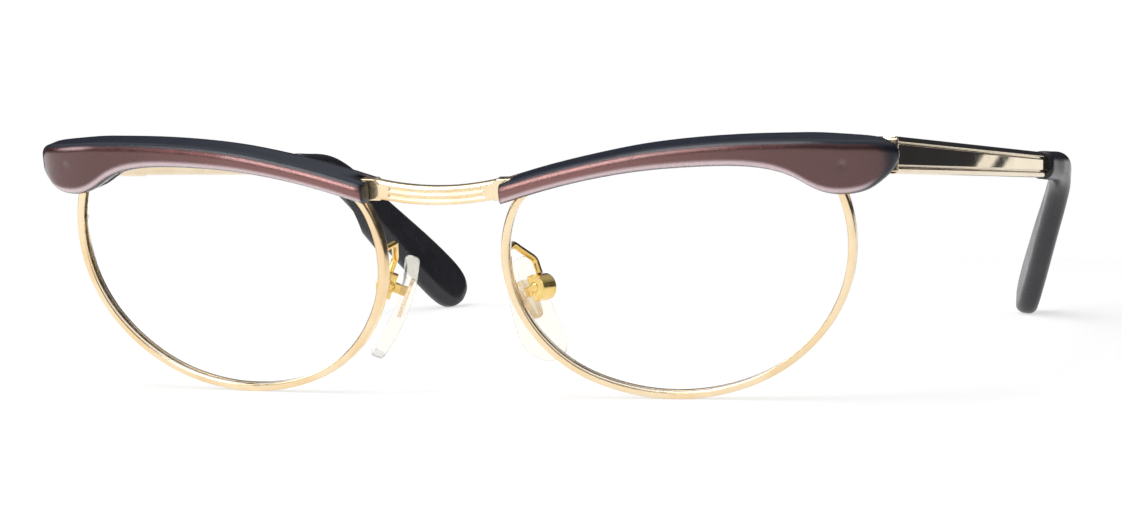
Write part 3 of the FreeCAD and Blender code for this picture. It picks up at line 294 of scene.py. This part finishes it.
def rolled_gold(name, pale, deep, gloss, edge, grain=GOLD_GRAIN_DEPTH):
    """Gold whose tone drifts slowly, with soft edges and small patches from polished to hazed."""
    material, tree, output = new_material(name)
    shader = principled(tree, output)
    shader.inputs["Metallic"].default_value = 1.0
    drift = spread(tree, cloud(tree, GOLD_TONE_WAVES), 0.0, 1.0)
    haze = spread(tree, cloud(tree, GOLD_HAZE_WAVES, GOLD_HAZE_DETAIL), *gloss)
    feed(tree, shader.inputs["Base Color"], two_tones(tree, drift, pale, deep))
    feed(tree, shader.inputs["Roughness"], haze)
    fine_relief(tree, shader, cloud(tree, GOLD_GRAIN_WAVES), grain, soft_edges(tree, edge))
    return material


def dress(material, *nodes):
    """Give each CAD node the finish."""
    for node in nodes:
        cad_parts[node].data.materials.clear()
        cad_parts[node].data.materials.append(material)


rim_gold = rolled_gold("rim_gold", RIM_PALE, RIM_DEEP, RIM_GLOSS, RIM_EDGE)
dress(rim_gold, "rim_left", "rim_right")


# The two lenses.
# Thin clear plano lenses, ground with a bevel that sits in the rim's groove.
# They let the light through, so they throw no shadow of their own.
SIDES = ("left", "right")
LENS_TINT = (1.0, 1.0, 1.0, 1.0)
LENS_GLOSS = (0.0, 0.02)
LENS_SMEAR_WAVES = 60.0
LENS_BENDING = 1.12


def clear_stock(name, tint, gloss, smear_waves, bending, body=1.0):
    """Clear glass or plastic with a faint smear in its gloss. Bending is its index of refraction,
    and a body of less than one lets the rest of the light pass straight on."""
    material, tree, output = new_material(name)
    shader = principled(tree, output)
    shader.inputs["Base Color"].default_value = tint
    shader.inputs["Transmission Weight"].default_value = 1.0
    shader.inputs["IOR"].default_value = bending
    shader.inputs["Alpha"].default_value = body
    feed(tree, shader.inputs["Roughness"], spread(tree, cloud(tree, smear_waves), *gloss))
    return material


lens_glass = clear_stock("lens_glass", LENS_TINT, LENS_GLOSS, LENS_SMEAR_WAVES, LENS_BENDING)
for side in SIDES:
    dress(lens_glass, "lens_" + side)
    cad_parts["lens_" + side].visible_shadow = False


# The bridge.
# A curved bar soldered between the rims, with two grooves along its front
# that make it look like three ribs. The gold is a little paler than the rims'.
BRIDGE_PALE = (0.98, 0.81, 0.55, 1.0)
BRIDGE_DEEP = (0.94, 0.72, 0.43, 1.0)
BRIDGE_GLOSS = (0.16, 0.28)
BRIDGE_EDGE = 0.30 * MM

dress(rolled_gold("bridge_gold", BRIDGE_PALE, BRIDGE_DEEP, BRIDGE_GLOSS, BRIDGE_EDGE), "bridge")


# The two brows.
# Brows cut from pearl acetate over a dark back, rounded and polished. The front shows mauve-brown pearl,
# lighter near the nose, with a painted highlight along its lower edge. The turned edges show the dark
# slate layer with painted shade laid over it.
PEARL_PALE = (0.250, 0.108, 0.100, 1.0)
PEARL_DEEP = (0.118, 0.050, 0.048, 1.0)
PEARL_PALE_AT = 22.0 * MM
PEARL_DEEP_AT = 62.0 * MM
PEARL_WAVE = 12.0 * MM
PEARL_TONE_WAVES = 140.0
PEARL_TONE_DETAIL = 4.0
# Pale pink painted highlight: the sheet's reflection, laid on where the lower edge turns down.
PEARL_PAINTED_HIGHLIGHT = (0.72, 0.56, 0.59, 1.0)
PEARL_SHINE = 0.75
PEARL_GLOSS = (0.22, 0.30)
PEARL_HAZE_WAVES = 420.0
# Dark slate: the back layer, and also painted shade and dark reflection on the top and turned edges.
SLATE_AND_PAINTED_SHADE = (0.014, 0.017, 0.029, 1.0)
POLISH_SLATE_TO_PEARL = (0.20, 0.90)
POLISH_GLOSS = 0.04
POLISH_GLINT = 0.25
LENS_TILT = math.radians(9.46)
BROW_ROLL = 1.4 * MM
LAYER_ROLL = 1.1 * MM

# Where the slate and its painted shade give way to the pearl, and the pearl to its painted highlight,
# as cosines between the surface's direction and an axis.
TOP_TO_FRONT = (0.80, 0.45)
SIDE_TO_FRONT = (0.45, 0.78)
FRONT_TO_PAINTED_HIGHLIGHT = (-0.20, -0.50)


def facing_share(tree, normal, axis, cosines):
    """How far the surface turns towards an axis: nothing at the first cosine, one at the second."""
    dot = tree.nodes.new("ShaderNodeVectorMath")
    dot.operation = "DOT_PRODUCT"
    dot.inputs[1].default_value = axis
    tree.links.new(normal, dot.inputs[0])
    return spread(tree, dot.outputs["Value"], 0.0, 1.0, *cosines)


def pearl_drift(tree):
    """Nothing near the nose and one near the temple: distance from the middle, waved by soft noise."""
    coords = tree.nodes.new("ShaderNodeTexCoord")
    split = tree.nodes.new("ShaderNodeSeparateXYZ")
    tree.links.new(coords.outputs["Object"], split.inputs[0])
    across = reckon(tree, "ABSOLUTE", split.outputs["X"])
    waves = cloud(tree, PEARL_TONE_WAVES, PEARL_TONE_DETAIL)
    waved = reckon(tree, "MULTIPLY_ADD", waves, PEARL_WAVE, across)
    return spread(tree, waved, 0.0, 1.0, PEARL_PALE_AT, PEARL_DEEP_AT)


def pearl_acetate():
    """Forward-facing pearl with a painted highlight below, and slate with painted shade where it turns.
    """
    material, tree, output = new_material("pearl_acetate")
    shader = principled(tree, output)
    upright = (0.0, -math.sin(LENS_TILT), math.cos(LENS_TILT))
    forward = (0.0, -math.cos(LENS_TILT), -math.sin(LENS_TILT))
    rolled = soft_edges(tree, BROW_ROLL)
    cut = soft_edges(tree, LAYER_ROLL)
    below_top = facing_share(tree, cut, upright, TOP_TO_FRONT)
    in_front = facing_share(tree, cut, forward, SIDE_TO_FRONT)
    pearl = reckon(tree, "MULTIPLY", below_top, in_front)
    # Lighter towards the nose and darker towards the temple, waved by soft noise.
    tone_along_brow = two_tones(tree, pearl_drift(tree), PEARL_PALE, PEARL_DEEP)
    # Painted highlight: the pearl turns pale pink where the rounded lower edge faces down.
    lit = two_tones(tree, facing_share(tree, rolled, upright, FRONT_TO_PAINTED_HIGHLIGHT), tone_along_brow, PEARL_PAINTED_HIGHLIGHT)
    # Slate on the top and turned edges stands for the dark layer and for painted shade.
    feed(tree, shader.inputs["Base Color"], two_tones(tree, pearl, SLATE_AND_PAINTED_SHADE, lit))
    feed(tree, shader.inputs["Metallic"], spread(tree, pearl, 0.0, PEARL_SHINE, 0.0, 1.0))
    feed(tree, shader.inputs["Roughness"], spread(tree, cloud(tree, PEARL_HAZE_WAVES), *PEARL_GLOSS))
    feed(tree, shader.inputs["Coat Weight"], spread(tree, pearl, *POLISH_SLATE_TO_PEARL, 0.0, 1.0))
    feed(tree, shader.inputs["Normal"], rolled)
    feed(tree, shader.inputs["Coat Normal"], rolled)
    shader.inputs["Coat Roughness"].default_value = POLISH_GLOSS
    shader.inputs["Specular IOR Level"].default_value = POLISH_GLINT
    return material


dress(pearl_acetate(), "brow_left", "brow_right")


# The corner fittings and screws.
# Solid gold-filled blocks: the upper one carries the lug for the temple, the lower
# one closes the rim. Small slotted screws hold them and the brows, and pin the hinges.
FITTING_GLOSS = (0.14, 0.28)
FITTING_EDGE = 0.30 * MM
SCREW_PALE = (0.88, 0.70, 0.44, 1.0)
SCREW_DEEP = (0.72, 0.54, 0.30, 1.0)
SCREW_GLOSS = (0.18, 0.32)
SCREW_EDGE = 0.10 * MM

fitting_gold = rolled_gold("fitting_gold", RIM_PALE, RIM_DEEP, FITTING_GLOSS, FITTING_EDGE)
screw_gold = rolled_gold("screw_gold", SCREW_PALE, SCREW_DEEP, SCREW_GLOSS, SCREW_EDGE)
for side in SIDES:
    dress(fitting_gold, "end_piece_" + side, "rim_lock_" + side)
dress(screw_gold, "rim_screws", "brow_screws", "hinge_screws")


# The hinges.
# Knuckled gold leaves, soldered to the end piece and to the temple. Their gold
# is the rims' own, a little hazier and with tighter edges.
HINGE_GLOSS = (0.20, 0.34)
HINGE_EDGE = 0.20 * MM

hinge_gold = rolled_gold("hinge_gold", RIM_PALE, RIM_DEEP, HINGE_GLOSS, HINGE_EDGE)
for side in SIDES:
    dress(hinge_gold, "hinge_front_" + side, "hinge_temple_" + side)


# The temple arms.
# Flat tapered arms of gold with a panel ruled by thin grooves. They are polished
# like a mirror, so they have no grain.
ARM_PALE = (0.90, 0.76, 0.54, 1.0)
ARM_DEEP = (0.84, 0.68, 0.46, 1.0)
ARM_GLOSS = (0.02, 0.035)
ARM_EDGE = 0.25 * MM

arm_gold = rolled_gold("arm_gold", ARM_PALE, ARM_DEEP, ARM_GLOSS, ARM_EDGE, grain=0.0)
dress(arm_gold, "temple_arm_left", "temple_arm_right")


# The temple tips.
# Black acetate paddles, bent down and inward, slid over the arm's core wire.
# Handling has rubbed their gloss a little duller in patches.
TIP_BLACK = (0.022, 0.022, 0.027, 1.0)
TIP_GREY = (0.032, 0.032, 0.038, 1.0)
TIP_TONE_WAVES = 120.0
TIP_GLOSS = (0.22, 0.30)
TIP_RUB_WAVES = 300.0
TIP_RUB_DETAIL = 6.0
TIP_GRAIN_WAVES = 1800.0
TIP_GRAIN_DETAIL = 4.0
TIP_GRAIN_DEPTH = 0.004 * MM
TIP_ROLL = 1.5 * MM


def black_acetate():
    """Black with a soft gloss that is rubbed duller in patches."""
    material, tree, output = new_material("black_acetate")
    shader = principled(tree, output)
    drift = spread(tree, cloud(tree, TIP_TONE_WAVES), 0.0, 1.0)
    rub = spread(tree, cloud(tree, TIP_RUB_WAVES, TIP_RUB_DETAIL), *TIP_GLOSS)
    grain = cloud(tree, TIP_GRAIN_WAVES, TIP_GRAIN_DETAIL)
    feed(tree, shader.inputs["Base Color"], two_tones(tree, drift, TIP_BLACK, TIP_GREY))
    feed(tree, shader.inputs["Roughness"], rub)
    fine_relief(tree, shader, grain, TIP_GRAIN_DEPTH, soft_edges(tree, TIP_ROLL))
    return material


dress(black_acetate(), "temple_tip_left", "temple_tip_right")


# The pad arms and boxes.
# Bent gold wire soldered behind each rim, ending in a small box. A cross pin
# through the box holds the metal lug that is moulded into the pad.
PAD_GOLD_PALE = (0.95, 0.70, 0.26, 1.0)
PAD_GOLD_DEEP = (0.82, 0.55, 0.16, 1.0)
PAD_GOLD_GLOSS = (0.12, 0.24)
PAD_GOLD_EDGE = 0.20 * MM

pad_gold = rolled_gold("pad_gold", PAD_GOLD_PALE, PAD_GOLD_DEEP, PAD_GOLD_GLOSS, PAD_GOLD_EDGE)
for side in SIDES:
    dress(pad_gold, "pad_arm_" + side, "pad_box_" + side, "pad_core_" + side)
dress(pad_gold, "pad_pins")


# The nose pads.
# Clear plastic pads, slightly yellowed and rubbed, moulded round the metal lug.
# They let the light through, so they throw no shadow of their own.
PAD_TINT = (0.99, 0.94, 0.80, 1.0)
PAD_GLOSS = (0.08, 0.15)
PAD_RUB_WAVES = 500.0
PAD_BENDING = 1.06
PAD_BODY = 0.45

pad_plastic = clear_stock("pad_plastic", PAD_TINT, PAD_GLOSS, PAD_RUB_WAVES, PAD_BENDING, PAD_BODY)
for side in SIDES:
    dress(pad_plastic, "nose_pad_" + side)
    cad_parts["nose_pad_" + side].visible_shadow = False


bpy.context.view_layer.update()
